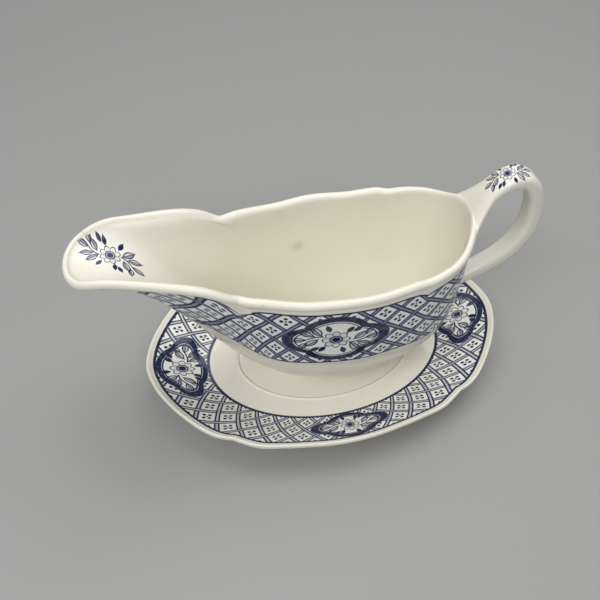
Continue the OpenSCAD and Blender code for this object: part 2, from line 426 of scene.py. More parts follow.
outer_depth = crowded(WALL_ROWS, WALL_START)[::-1]
inner_depth = crowded(INNER_ROWS)[1:]
bead_angle = np.linspace(BEAD_LOW, 180, BEAD_ROWS)
rim_softness = np.concatenate([OUTER_SOFT_PART * ramp(outer_depth, *OUTER_SOFT),
                               ramp(bead_angle, *BEAD_SOFT), ramp(inner_depth, *INNER_SOFT)])
below_rim = ramp(np.concatenate([outer_depth, 0 * bead_angle, inner_depth]), *SHOULDER_DEPTH)
shoulder = ramp(LENGTHWISE, *SHOULDER_LIP) * ramp(LENGTHWISE, *SHOULDER_SIDE)


def bowl_skin(crease_depth):
    """Rings of the whole skin, from the base up the outside, over the bead and down the inside. The
    bead is softened into the walls, and the shoulder between lip and side is rounded off below it."""
    outside = wall(outer_depth, crease_depth, OUTER_FOLD, WALL_OUT, LIP_TUCK, 0, BOWL_BASE)
    inside = wall(inner_depth, crease_depth, INNER_FOLD, -bead_inward, 0, FLOOR_INSET,
                  BOWL_BASE + FLOOR_THICKNESS)
    rings = np.concatenate([outside, bead(np.radians(bead_angle), crease_depth), inside])
    rings = softened(rings, rim_softness[:, None], BEAD_PASSES, 0)
    return softened(rings, below_rim[:, None] * shoulder, SHOULDER_PASSES, 1, SHOULDER_STEP)


bowl_rings = bowl_skin(CREASE_DEPTH)
print("bowl top at", bowl_rings[..., 2].max().round(2), "mm")


# %% [markdown]
# The print needs two distances on this skin. One runs along the boat from the middle of each side,
# stretched a little so that the laths of both sides meet under the lip. The other runs down from the
# bead, square to the rim, so that the pattern keeps its shape under the long lip, where the grid's
# own lines lean. Below 0 it goes over the bead and inside. Both are measured on the skin without its
# creases, so that these don't break the pattern. The border line dips to a point under each crease,
# so the dips are taken off the second distance.

# %% Bowl print map
PRINT_MID = 0.2
TRELLIS_PITCH = 14.5
LIP_JOIN = 6.5 * TRELLIS_PITCH
HANDLE_END = (0.5, 0.7)
LINE_DIP, DIP_FADE = 8.2, 16.0
BOWL_CAPS, BOWL_PRINT_ROOM = 0.03, 3


def square_climb(rings):
    """Distance up the section at each column, counting only steps square to the rings."""
    along = np.roll(rings, -1, axis=1) - np.roll(rings, 1, axis=1)
    along = along / np.linalg.norm(along, axis=-1, keepdims=True)
    step = np.diff(rings, axis=0)
    way = (along[1:] + along[:-1]) / 2
    step = step - (step * way).sum(-1, keepdims=True) * way
    return np.concatenate([np.zeros((1, rings.shape[1])), np.cumsum(np.linalg.norm(step, axis=-1), axis=0)])


def from_mid_side(rings):
    """Distance along each ring from the middle of a side, the same on both sides of the boat."""
    run = run_length(seam_closed(rings), 1)
    half = rings.shape[1] // 2
    middle = int(np.argmin(abs(LENGTHWISE[:half] - PRINT_MID)))
    back = run[:, :half + 1] - run[:, middle:middle + 1]
    return np.concatenate([back, back[:, half - 1::-1]], axis=1)


plain_rings = bowl_skin(0)
across = from_mid_side(plain_rings)
lip_end = across[:, len(ANGLES) // 2, None]
across = across + (LIP_JOIN - lip_end) * seam_closed(ramp(LENGTHWISE[None], 0, -1))
climb = square_climb(plain_rings)
below = climb[WALL_ROWS - 1] - climb
both_ends = np.maximum(shoulder, ramp(LENGTHWISE, *HANDLE_END))
below = softened(below[..., None], below_rim[:, None] * both_ends, SHOULDER_PASSES, 1, SHOULDER_STEP)[..., 0]
crease_place = (plain_rings[..., 0] - RIM_MID) / (RIM_LEN / 2)
below = seam_closed(below - creases(crease_place, LINE_DIP) * ramp(below, DIP_FADE, 0))
BEAD_TOP = float(below[WALL_ROWS + BEAD_ROWS - 1].mean())

# On the bake map the printed rows get three times the room of the others
row_room = np.diff(climb.mean(1)) * np.where(below.mean(1)[1:] > 0, BOWL_PRINT_ROOM, 1)
bowl = ring_piece("bowl", bowl_rings, np.stack([across, below], -1), bake_rows(row_room, BOWL_CAPS))
stand_in(bowl, "boat_bowl", "boat")


# %% [markdown]
# ## The handle
#
# The handle is a strap pressed in its own mould and stuck to the bowl with wet clay. A bevelled
# curve would give it one thickness all along. Seen from the side it has an outer and an inner edge
# line, so each ring spans the two instead, and a rounded square section gives it soft corners. It
# flares where it joins the bowl, as the joint was wiped smooth.

# %% Handle
HANDLE_BREADTH = 12
HANDLE_TAPER = 0.76
FLARE_TOP, FLARE_LOW, FLARE_RUN = 0.55, 0.4, 0.06
HANDLE_SQUARE, ROOT_SQUARE = 3.0, 2.2
SQUARE_TOP, SQUARE_LOW = (0, 0.4), (1, 0.7)
HANDLE_FIT = 0.07
HANDLE_ROWS, HANDLE_SIDES = 160, 64
HANDLE_OUTER = [(-1.7, -0.5), (0.8, 3.5), (5.3, 9.2), (10.3, 14.1), (16.8, 16.9), (23.8, 15.1),
                (30.3, 8.4), (34.6, -1.1), (36.6, -11.1), (36.5, -19.6), (34.1, -28.6), (29.6, -36.6),
                (23.3, -42.8), (15.3, -47.9), (6.8, -51.8), (-2.7, -55.6)]
HANDLE_INNER = [(-0.7, -12.1), (3.8, -3.6), (8.3, 3.7), (13.3, 7.9), (17.8, 8.9), (22.3, 6.9), (26, 0.9),
                (28, -6.6), (28.6, -14.1), (27.8, -21.3), (25.1, -28.3), (20.8, -34.1), (14.8, -38.9),
                (8.3, -42.3), (2.8, -44.5), (-2.2, -46.1)]


def edge_line(stations, f):
    """Edge of the handle in the XZ plane at parts f of its run, from the rim's end."""
    across, up = path(stations, f)
    return rim_crest(np.array(0.0)) + np.stack([across, np.zeros_like(f), up], -1)


def rounded(v, square):
    """Sine or cosine v squared off: its size to the power 2 / square, with its sign kept."""
    return np.sign(v) * abs(v) ** (2 / square)


def handle_surface(f, u):
    """Rings at parts f of the run: middle of the two edges, plus half their gap times sin u and the
    half-breadth times cos u, both squared off."""
    outer, inner = edge_line(HANDLE_OUTER, f), edge_line(HANDLE_INNER, f)
    flare = FLARE_TOP * np.exp(-f / FLARE_RUN) + FLARE_LOW * np.exp(-(1 - f) / FLARE_RUN)
    half = HANDLE_BREADTH / 2 * (mix(1, HANDLE_TAPER, ramp(f, 0, 1)) + flare)
    square = mix(ROOT_SQUARE, HANDLE_SQUARE, ramp(f, *SQUARE_TOP) * ramp(f, *SQUARE_LOW))[:, None]
    over, aside = (rounded(v, square)[..., None] for v in (np.sin(u), np.cos(u)))
    sideways = half[:, None, None] * np.array([0, 1.0, 0])
    thick = (outer - inner) / 2
    thick = thick * (1 - HANDLE_FIT / np.linalg.norm(thick, axis=-1, keepdims=True))
    return ((outer + inner) / 2)[:, None] + thick[:, None] * over + sideways * aside


outer_edge = edge_line(HANDLE_OUTER, np.linspace(0, 1, HANDLE_ROWS))
print("handle", run_length(outer_edge, 0)[-1].round(1), "mm along its outer edge")


# %% [markdown]
# The two roots are fillets: each starts as an oval on the bowl's own skin, leaves it along the
# skin, and bends into the strap. A cubic between the two ends, with a direction given at each, does
# that for every point round the strap at once. The upper root takes in the bead, so the rim flows
# up into the handle from both sides. A few more rings close each end inside the bowl's wall.

# %% Handle roots
ROOT_STEP = 0.05
SINK = 0.2
# Part of the oval's size and depth of the rings inside the wall
HIDDEN_END = [(0.08, 1.0), (0.35, 1.0), (0.7, 1.0), (0.93, 0.8)]
# Part of the strap's run, half-angle on the bowl, middle and half-height on the skin, pulls, rows
TOP_ROOT = dict(part=0.15, angle=20, middle=-2.5, half=8.6, skin_pull=9.0, top_slack=0.85,
                strap_pull=0.15, rows=40)
LOW_ROOT = dict(part=0.93, angle=10, middle=-43, half=7.5, skin_pull=4.0, top_slack=0.0,
                strap_pull=0.07, rows=28)
HANDLE_CAPS = 0.02
seamless = seam_closed(bowl_rings)


def skin_at(t, up):
    """Points of the bowl's skin at angles t and at distances up its section from under the bead."""
    row = np.interp(up + climb[WALL_ROWS - 1, 0], climb[:, 0], np.arange(len(climb)))
    col = np.interp(t % (2 * math.pi), np.append(ANGLES, 2 * math.pi), np.arange(len(ANGLES) + 1))
    r, c = np.minimum(row.astype(int), len(climb) - 2), np.minimum(col.astype(int), len(ANGLES) - 1)
    aside, over = (col - c)[:, None], (row - r)[:, None]
    return mix(mix(seamless[r, c], seamless[r, c + 1], aside),
               mix(seamless[r + 1, c], seamless[r + 1, c + 1], aside), over)


def root_oval(root, u, size):
    """Oval of a root on the skin, at a part of its full size."""
    aside, over = (size * rounded(v, ROOT_SQUARE) for v in (np.cos(u), np.sin(u)))
    return skin_at(np.radians(root["angle"]) * aside, root["middle"] + root["half"] * over)


def root_rows(root, u):
    """Rows from the skin to the strap: cubic with the skin's and the strap's own directions."""
    start = root_oval(root, u, 1)
    leave = root_oval(root, u, 1 - ROOT_STEP) - start
    pull = root["skin_pull"] * (1 - root["top_slack"] * ramp(np.sin(u), 0, 1))[:, None]
    leave = leave / np.linalg.norm(leave, axis=-1, keepdims=True) * pull
    part = np.array([root["part"]])
    before = part - NUDGE if root is TOP_ROOT else part + NUDGE
    end = handle_surface(part, u)[0]
    arrive = (end - handle_surface(before, u)[0]) / NUDGE * root["strap_pull"]
    into_wall = -arrive / np.linalg.norm(arrive, axis=-1, keepdims=True)
    hidden = [root_oval(root, u, size) + deep * into_wall for size, deep in HIDDEN_END]
    g = np.linspace(0, 1, root["rows"], endpoint=False)[:, None, None]
    return np.concatenate([hidden, cubic(g, start + SINK * into_wall, leave, end, arrive)])


handle_turn = np.radians(np.linspace(-90, 270, HANDLE_SIDES, endpoint=False))
strap_parts = np.linspace(LOW_ROOT["part"], TOP_ROOT["part"], HANDLE_ROWS)
handle_rings = np.concatenate([root_rows(LOW_ROOT, handle_turn), handle_surface(strap_parts, handle_turn),
                               root_rows(TOP_ROOT, handle_turn)[::-1]])
handle_round = run_length(seam_closed(handle_rings), 1)
handle_along = run_length(handle_rings[:, HANDLE_SIDES // 2], 0)
strap_start = len(HIDDEN_END) + LOW_ROOT["rows"]
strap = slice(strap_start, strap_start + HANDLE_ROWS)
handle_along = handle_along[strap][-1] - handle_along
handle_print = np.stack([np.broadcast_to(handle_along[:, None], handle_round.shape),
                         handle_round - handle_round[:, -1:] / 2], -1)
handle_share = bake_rows(np.ones(len(handle_rings) - 1), HANDLE_CAPS)
handle = ring_piece("handle", handle_rings, handle_print, handle_share)
stand_in(handle, "boat_handle", "boat")


# %% [markdown]
# ## The foot rings
#
# The boat and the stand each rest on a raised oval ring with a flat ground land. A torus would touch
# the table on a line only, so a short profile is carried round an oval: down the outside, across the
# land and up the inside, with rounded corners. The profile's upper corners spread out a little, as
# the glaze fills the joint there.

# %% Foot rings
FOOT_COLUMNS = 240
FOOT_LAND, FOOT_CORNER, FOOT_SPREAD = 4, 0.8, 0.6
CORNER_POINTS = 7
FOOT_SINK = 0.1
FOOT_CAPS = 0.02


def oval_ring(name, low, high):
    """Profile of (inset, height) carried round the oval of a box: its half-axes less the inset."""
    arc = np.radians(np.linspace(0, 90, CORNER_POINTS))
    out, up = FOOT_CORNER * (1 - np.cos(arc)), FOOT_CORNER * (1 - np.sin(arc))
    inset = np.concatenate([[0], out, FOOT_LAND - up,
                            [FOOT_LAND, FOOT_LAND + FOOT_SPREAD, FOOT_LAND / 2, -FOOT_SPREAD]])
    top = high[2] + FOOT_SINK
    neck = top - 2 * FOOT_SPREAD
    height = np.concatenate([[neck], low[2] + up, low[2] + out, [neck, top, top, top]])
    t = np.linspace(0, 2 * math.pi, FOOT_COLUMNS, endpoint=False)
    length, breadth = (high - low)[:2]
    x = (low[0] + high[0]) / 2 + (length / 2 - inset[:, None]) * np.cos(t)
    y = (breadth / 2 - inset[:, None]) * np.sin(t)
    rings = np.stack([x, y, np.broadcast_to(height[:, None], x.shape)], -1)
    looped = np.concatenate([seam_closed(rings), seam_closed(rings[:1])])
    places = np.stack([run_length(looped, 1), looped[..., 2] - low[2]], -1)
    share = bake_rows(np.ones(len(inset)), FOOT_CAPS)
    return ring_piece(name, rings[::-1], places[::-1], share, closed_section=True)


boat_foot = oval_ring("boat_foot", foot_low, foot_high)
stand_in(boat_foot, "boat_foot_ring", "boat")
base_low, base_high = (np.array(corner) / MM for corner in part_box("stand_foot_ring"))
stand_foot = oval_ring("stand_foot", base_low, base_high)
stand_in(stand_foot, "stand_foot_ring", "stand")


# %% [markdown]
# ## The stand
#
# The stand is a shallow oval dish. Its rim has four notches, where the long end lobes meet the side
# lobes. A cut into an oval would leave sharp corners, so the outline is a radius by angle, folded
# into one quarter, with a list of stations for each lobe. The well inside it is a plain oval.

# %% Stand outline
stand_low, stand_high = (np.array(corner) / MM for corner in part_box("stand_dish"))
STAND_LEN, STAND_BREADTH = (float(v) for v in (stand_high - stand_low)[:2])
STAND_MID = float(stand_low[0] + stand_high[0]) / 2
WELL_LEN, WELL_BREADTH = 124, 82
DRAWN_LEN, DRAWN_BREADTH = 186.4, 125.2
NOTCH_ANGLE, NOTCH_RADIUS = 40.3, 75.2
END_LOBE = [(-8, 91.2), (0, DRAWN_LEN / 2), (8, 91.2), (16, 87.6), (24, 84), (31, 81.2), (36, 78.6),
            (NOTCH_ANGLE, NOTCH_RADIUS)]
SIDE_LOBE = [(NOTCH_ANGLE, NOTCH_RADIUS), (44, 74), (50, 72.1), (60, 67.4), (72, 64),
             (90, DRAWN_BREADTH / 2), (108, 64)]
STAND_STEPS = [(0, NOTCH_ANGLE, 52), (NOTCH_ANGLE, 90, 68)]


def stand_angles():
    """Angles round the stand, with a point on each notch: one quarter's steps, mirrored twice."""
    quarter = spaced(STAND_STEPS)
    half = np.concatenate([quarter, [90], 180 - quarter[:0:-1]])
    return np.radians(np.concatenate([half, 180 + half]))


def stand_outline(t):
    """Rim of the stand: radius by angle, folded into one quarter, stretched to length and breadth."""
    folded = abs((np.degrees(t) + 90) % 180 - 90)
    radius = np.where(folded < NOTCH_ANGLE, curve(END_LOBE, folded), curve(SIDE_LOBE, folded))
    stretch = np.array([STAND_LEN / DRAWN_LEN, STAND_BREADTH / DRAWN_BREADTH])
    return radius[:, None] * np.stack([np.cos(t), np.sin(t)], -1) * stretch


def well_line(t):
    """Oval of the well at the same angles."""
    way = np.stack([np.cos(t), np.sin(t)], -1)
    return way / np.linalg.norm(way * 2 / np.array([WELL_LEN, WELL_BREADTH]), axis=-1, keepdims=True)


stand_turn = stand_angles()
outline, well = stand_outline(stand_turn), well_line(stand_turn)
print("stand", round(STAND_LEN, 1), "by", round(STAND_BREADTH, 1), "mm,", len(stand_turn), "columns")


# %% [markdown]
# The section runs from the middle of the underside out to the rim and back over the sloping border
# into the well, where a low ridge marks the boat's seat. Each ring lies between the well's oval and
# the outline, at a place and a height that the section gives, so the notches fade out towards the
# well. Rows are closer together at the ridge, where they are needed, than on the flat.

# %% Stand section
STAND_HEIGHT, WELL_HEIGHT = float(stand_high[2]), 8
WELL_UNDER = float(stand_low[2])
RIM_CLIMB = STAND_HEIGHT - WELL_HEIGHT
# Place (-1 middle, 0 well line, 1 rim) and height of the underside, the rim and the upper side
UNDER_SIDE = [(-0.55, WELL_UNDER), (-0.1, WELL_UNDER), (0.05, WELL_UNDER + 0.6),
              (0.2, WELL_UNDER + 0.16 * RIM_CLIMB), (0.4, WELL_UNDER + 0.36 * RIM_CLIMB),
              (0.6, WELL_UNDER + 0.57 * RIM_CLIMB), (0.8, WELL_UNDER + 0.79 * RIM_CLIMB),
              (0.975, STAND_HEIGHT - 3.4)]
RIM_EDGE = [(0.975, STAND_HEIGHT - 3.4), (0.996, STAND_HEIGHT - 2.4), (1, STAND_HEIGHT - 1.6),
            (0.997, STAND_HEIGHT - 0.8), (0.985, STAND_HEIGHT - 0.2), (0.965, STAND_HEIGHT),
            (0.945, STAND_HEIGHT - 0.3), (0.91, WELL_HEIGHT + 0.92 * RIM_CLIMB)]
UPPER_SIDE = [(-0.6, WELL_HEIGHT), (-0.25, WELL_HEIGHT), (-0.12, WELL_HEIGHT + 0.25),
              (0, WELL_HEIGHT + 0.7), (0.08, WELL_HEIGHT + 1.3), (0.2, WELL_HEIGHT + 0.18 * RIM_CLIMB),
              (0.4, WELL_HEIGHT + 0.38 * RIM_CLIMB), (0.6, WELL_HEIGHT + 0.58 * RIM_CLIMB),
              (0.8, WELL_HEIGHT + 0.79 * RIM_CLIMB), (0.91, WELL_HEIGHT + 0.92 * RIM_CLIMB)]
UNDER_ROWS, EDGE_ROWS = [(-0.55, 0.975, 40)], 32
UPPER_ROWS = [(0.91, -0.21, 76), (-0.21, -0.28, 22), (-0.28, -0.6, 18)]
RIDGE_PLACE, RIDGE_HEIGHT, RIDGE_HALF = -0.245, 0.9, 0.011


def stand_section():
    """Places and heights down the section. The rim's edge is a path, because it turns back on
    itself; the two sides are heights by place, and the ridge is a bell curve."""
    under, upper = spaced(UNDER_ROWS), spaced(UPPER_ROWS)
    edge, edge_height = path(RIM_EDGE, np.linspace(0, 1, EDGE_ROWS, endpoint=False))
    ridge = RIDGE_HEIGHT * np.exp(-((upper - RIDGE_PLACE) / RIDGE_HALF) ** 2)
    height = np.concatenate([curve(UNDER_SIDE, under), edge_height, curve(UPPER_SIDE, upper) + ridge])
    return np.concatenate([under, edge, upper]), height


place, height = stand_section()
place_in = place[:, None, None]
plan = np.where(place_in < 0, (1 + place_in) * well, mix(well, outline, place_in))
level = np.broadcast_to(height[:, None, None], plan.shape)[..., :1]
stand_rings = np.concatenate([plan + [STAND_MID, 0], level], -1)
print("stand section of", len(place), "rows, from", height.min().round(1), "to", height.max().round(1), "mm")


# %% [markdown]
# The stand's print runs round the border, so its first distance goes round the middle of it. The
# second goes from the rim to the well line. The real border is a little wider at the ends than at
# the sides, and a nominal width lets the pattern fill it everywhere.

# %% Stand print map
BORDER_WIDTH = 24
BORDER_MIDDLE = 0.5
STAND_CAPS, STAND_PRINT_ROOM = 0.04, 2.5
edge_start = sum(rows for _, _, rows in UNDER_ROWS)
upper_start = edge_start + EDGE_ROWS
middle_row = upper_start + int(np.argmin(abs(place[upper_start:] - BORDER_MIDDLE)))
stand_around = run_length(seam_closed(stand_rings)[middle_row], 0)
STAND_ROUND = float(stand_around[-1])
top_side = np.arange(len(place)) >= edge_start + EDGE_ROWS // 2
stand_across = np.where(top_side, BORDER_WIDTH * (1 - place), -BORDER_WIDTH)
stand_print = np.stack(np.broadcast_arrays(stand_around, stand_across[:, None]), -1)
stand_room = np.diff(run_length(seam_closed(stand_rings), 0).mean(1))
stand_room = stand_room * np.where(top_side[1:], STAND_PRINT_ROOM, 1)
stand = ring_piece("stand", stand_rings, stand_print, bake_rows(stand_room, STAND_CAPS))
stand_in(stand, "stand_dish", "stand")
print("print runs", round(STAND_ROUND), "mm round the stand")


# %% [markdown]
# ## Drawing with nodes
#
# The blue print is made of lines, leaves and dots, which are all sums on two distances. An image
# would blur when the camera comes close. Shader math nodes do such sums at every point of a surface,
# so the print stays sharp. A small class adds the nodes, so that a drawing reads like arithmetic.

# %% Node drawing
SOFT_EDGE = 0.16


class Drawing:
    """Adds nodes to a tree. Its methods take numbers or sockets and return a socket."""

    def __init__(self, tree):
        self.tree = tree

    def add_node(self, kind, **settings):
        node = self.tree.nodes.new(kind)
        for name, value in settings.items():
            setattr(node, name, value)
        return node

    def feed(self, socket, value):
        if isinstance(value, bpy.types.NodeSocket):
            self.tree.links.new(value, socket)
        else:
            socket.default_value = value

    def math(self, operation, *values, clamp=False):
        node = self.add_node("ShaderNodeMath", operation=operation, use_clamp=clamp)
        for socket, value in zip(node.inputs, values):
            self.feed(socket, value)
        return node.outputs[0]

    def add(self, a, b):
        return self.math("ADD", a, b)

    def sub(self, a, b):
        return self.math("SUBTRACT", a, b)

    def mul(self, a, b):
        return self.math("MULTIPLY", a, b)

    def size(self, a):
        return self.math("ABSOLUTE", a)

    def length(self, *parts):
        """Distance from the origin: root of the sum of squares."""
        total = self.mul(parts[0], parts[0])
        for part in parts[1:]:
            total = self.add(total, self.mul(part, part))
        return self.math("SQRT", total)

    def either(self, *parts):
        """The strongest of several masks."""
        result = parts[0]
        for part in parts[1:]:
            result = self.math("MAXIMUM", result, part)
        return result

    def without(self, a, b):
        """a where b isn't."""
        return self.mul(a, self.sub(1.0, b))

    def inside(self, distance, soft=SOFT_EDGE):
        """1 where the distance is below 0, 0 where it is above, with a soft edge between."""
        return self.math("MULTIPLY_ADD", distance, -1 / soft, 0.5, clamp=True)

    def line(self, distance, half_width):
        """Line of the given half-width along distance 0."""
        return self.inside(self.sub(self.size(distance), half_width))

    def turned(self, x, y, at, angle):
        """x and y in a frame that is moved to a point and turned by an angle in degrees."""
        c, s = math.cos(math.radians(angle)), math.sin(math.radians(angle))
        dx, dy = self.sub(x, at[0]), self.sub(y, at[1])
        return self.add(self.mul(dx, c), self.mul(dy, s)), self.sub(self.mul(dy, c), self.mul(dx, s))

    def colour(self, factor, a, b):
        """Colour a at factor 0 and colour b at factor 1."""
        node = self.add_node("ShaderNodeMix", data_type="RGBA")
        for socket, value in zip((node.inputs[0], node.inputs[6], node.inputs[7]), (factor, a, b)):
            self.feed(socket, value)
        return node.outputs[2]

    def place(self):
        """Object coordinates, in metres."""
        return self.add_node("ShaderNodeTexCoord").outputs["Object"]

    def split(self, vector):
        node = self.add_node("ShaderNodeSeparateXYZ")
        self.feed(node.inputs[0], vector)
        return node.outputs

    def noise(self, place, scale, detail=2.0, output="Fac"):
        node = self.add_node("ShaderNodeTexNoise")
        self.feed(node.inputs["Vector"], place)
        self.feed(node.inputs["Scale"], scale)
        self.feed(node.inputs["Detail"], detail)
        return node.outputs[output]

    def cells(self, place, scale, **settings):
        node = self.add_node("ShaderNodeTexVoronoi", **settings)
        self.feed(node.inputs["Vector"], place)
        self.feed(node.inputs["Scale"], scale)
        return node.outputs


# %% [markdown]
# A node group is drawn once and used in several materials, as one engraved plate prints many pots.
# Copies of its nodes in each material would do too, but a change would then have to be made in each.

# %% Node groups
NUMBER, COLOUR = "NodeSocketFloat", "NodeSocketColor"


def new_group(name, inputs, outputs):
    """Empty node group with number inputs and given outputs: a Drawing and its sockets at both ends."""
    group = bpy.data.node_groups.new(name, "ShaderNodeTree")
    for title in inputs:
        group.interface.new_socket(title, in_out="INPUT", socket_type=NUMBER)
    for title, kind in outputs.items():
        group.interface.new_socket(title, in_out="OUTPUT", socket_type=kind)
    draw = Drawing(group)
    source = draw.add_node("NodeGroupInput").outputs
    return draw, source, draw.add_node("NodeGroupOutput").inputs


def use_group(draw, name, *values):
    """Places a group in a tree and feeds its inputs in their order; returns its outputs."""
    node = draw.add_node("ShaderNodeGroup", node_tree=bpy.data.node_groups[name])
    for socket, value in zip(node.inputs, values):
        draw.feed(socket, value)
    return node.outputs


def tell_group(draw):
    print(draw.tree.name, "group:", len(draw.tree.nodes), "nodes")


# %% [markdown]
# ## The trellis
#
# The ground of the print is a garden trellis: two families of laths that cross on the slant and
# pass over and under each other, with a seed motif in every gap. A brick texture has no such weave.
# Here the slant coordinates p and q count the laths. Their rounded values tell which crossing a
# point is near, and so which lath is on top there.

# %% Trellis group
LATH_HALF, LATH_LINE, LATH_WASH = 0.92, 0.42, 0.8
SEED_REACH, SEED_SIZE, SEED_EYE = 0.13, 0.9, 0.54
GAP_MIDDLE = 0.5


def build_trellis():
    """Ink and wash of the trellis at (Across, Down) millimetres."""
    draw, source, result = new_group("trellis", ["Across", "Down"], {"Ink": NUMBER, "Wash": NUMBER})
    a, b = (draw.mul(source[title], 1 / TRELLIS_PITCH) for title in ("Across", "Down"))
    laths = draw.add(a, b), draw.sub(a, b)
    apart = TRELLIS_PITCH * math.sqrt(0.5)
    near = [draw.math("ROUND", v) for v in laths]
    away = [draw.mul(draw.sub(v, n), apart) for v, n in zip(laths, near)]
    over = draw.math("PINGPONG", draw.add(*near), 1.0)
    top = (over, draw.sub(1.0, over))
    bodies = [draw.line(v, LATH_HALF) for v in away]
    edges = [draw.line(draw.sub(draw.size(v), LATH_HALF), LATH_LINE) for v in away]
    shown = [draw.without(edges[mine], draw.mul(bodies[other], top[other]))
             for mine, other in ((0, 1), (1, 0))]
    heart = [draw.sub(draw.math("FRACT", v), GAP_MIDDLE) for v in laths]
    seed = [draw.sub(draw.size(v), SEED_REACH) for v in heart]
    dots = [draw.inside(draw.sub(draw.mul(draw.length(*at), apart), size))
            for at, size in ((heart, SEED_EYE), (seed, SEED_SIZE))]
    draw.feed(result["Ink"], draw.either(*shown, *dots))
    draw.feed(result["Wash"], draw.mul(draw.either(*bodies), LATH_WASH))
    tell_group(draw)


build_trellis()


# %% [markdown]
# ## The sprig
#
# A spray of leaves and buds round a daisy fills the plain places of the print. It is drawn once,
# in millimetres, as half a spray: turning the other half by 180 degrees makes an S of the two. A
# leaf is the set of points whose distance from its midrib is below a parabola, an engraver's
# shading fills one half of it, and the daisy is a circle whose radius swings with the angle.

# %% Sprig group
PEN = 0.31
RIB_PEN, STEM_PEN = PEN * 0.7, PEN * 1.3
RIB_REACH = 1.25
LEAF_LIGHT, LEAF_SHADE, SHADE_SOFT = 0.28, 0.42, 0.5
BUD_FILL = 4.0
PETALS = 8
PETAL_LONG, PETAL_SHORT = 5.6, 4.1
PETAL_PARTING = 0.45
PETAL_WASH, PETAL_FADE = 0.65, 0.12
DAISY_EYE, DAISY_RING = 1.7, 2.45
STEM_SWING, STEM_WAVE = 2.6, 13.0
STEM_FROM, STEM_TO = 5.0, 13.5
# Middle, turn in degrees, half-length and half-width of each leaf, and of each dark bud
LEAVES = [((7.7, 6.3), 58, 3.6, 1.6), ((11.8, 4.7), 30, 3.4, 1.5), ((9.9, -1.6), -42, 3.4, 1.5),
          ((15.5, 0.3), -6, 3.3, 1.4), ((13.5, -3.9), -58, 2.7, 1.2)]
BUDS = [((5.6, -6.3), -58, 2.1, 0.95), ((8.6, -6.2), -38, 2.0, 0.9), ((3.0, 7.9), 76, 2.1, 0.95)]


def draw_leaf(draw, x, y, at, angle, half_len, half_width):
    """Leaf with |v| < half_width * (1 - (u / half_len)^2) in its own turned frame."""
    u, v = draw.turned(x, y, at, angle)
    edge = draw.math("MULTIPLY_ADD", draw.mul(u, u), -half_width / half_len**2, half_width)
    gap = draw.sub(draw.size(v), edge)
    rib = draw.mul(draw.line(v, RIB_PEN), draw.inside(draw.sub(draw.size(u), half_len * RIB_REACH)))
    shade = draw.math("MULTIPLY_ADD", draw.inside(v, SHADE_SOFT), LEAF_SHADE, LEAF_LIGHT)
    return draw.either(draw.line(gap, PEN), rib), draw.mul(draw.inside(gap), shade)


def draw_daisy(draw, x, y):
    """Daisy with the radius short + (long - short) * |cos(petals * angle / 2)|, an eye and a ring."""
    r = draw.length(x, y)
    swing = draw.size(draw.math("COSINE", draw.mul(draw.math("ARCTAN2", y, x), PETALS / 2)))
    gap = draw.sub(r, draw.math("MULTIPLY_ADD", swing, PETAL_LONG - PETAL_SHORT, PETAL_SHORT))
    flower = draw.inside(gap)
    parting = draw.mul(draw.inside(draw.sub(draw.mul(swing, r), PETAL_PARTING)), flower)
    eye = draw.either(draw.inside(draw.sub(r, DAISY_EYE)), draw.line(draw.sub(r, DAISY_RING), PEN))
    wash = draw.mul(flower, draw.math("MULTIPLY_ADD", r, -PETAL_FADE, PETAL_WASH, clamp=True))
    return draw.either(draw.line(gap, PEN), parting, eye), wash


def build_sprig():
    """Ink and wash of the sprig at (X, Y) millimetres from the middle of its daisy. The stem is a
    sine wave, and x and y change sign together on the left, which turns that half round."""
    draw, source, result = new_group("sprig", ["X", "Y"], {"Ink": NUMBER, "Wash": NUMBER})
    x, y = source["X"], source["Y"]
    parts = [draw_daisy(draw, x, y)]
    fx, fy = draw.size(x), draw.mul(y, draw.math("SIGN", x))
    parts += [draw_leaf(draw, fx, fy, *leaf) for leaf in LEAVES]
    inks, washes = (list(part) for part in zip(*parts))
    bend = draw.mul(draw.math("SINE", draw.mul(fx, math.pi / STEM_WAVE)), STEM_SWING)
    past_end = draw.sub(draw.size(draw.sub(fx, (STEM_FROM + STEM_TO) / 2)), (STEM_TO - STEM_FROM) / 2)
    inks.append(draw.mul(draw.line(draw.sub(fy, bend), STEM_PEN), draw.inside(past_end)))
    for bud in BUDS:
        ink, wash = draw_leaf(draw, fx, fy, *bud)
        inks += [ink, draw.math("MULTIPLY", wash, BUD_FILL, clamp=True)]
    draw.feed(result["Ink"], draw.either(*inks))
    draw.feed(result["Wash"], draw.either(*washes))
    tell_group(draw)


build_sprig()


# %% [markdown]
# ## The reserves
#
# A reserve is a plain window left in the trellis for a sprig. This one is a quatrefoil, with four
# lobes and four inward points, framed by a dark band and a thin inner line. Four circles would need
# joining; in coordinates where its half-width and half-height are both 1, its radius is simply a
# constant plus a part of |cos 2a|.

# %% Reserve group
LOBES, LOBE_DEPTH = 2.0, 0.2
FRAME_RINGS = (1.0, 0.79, 0.745)


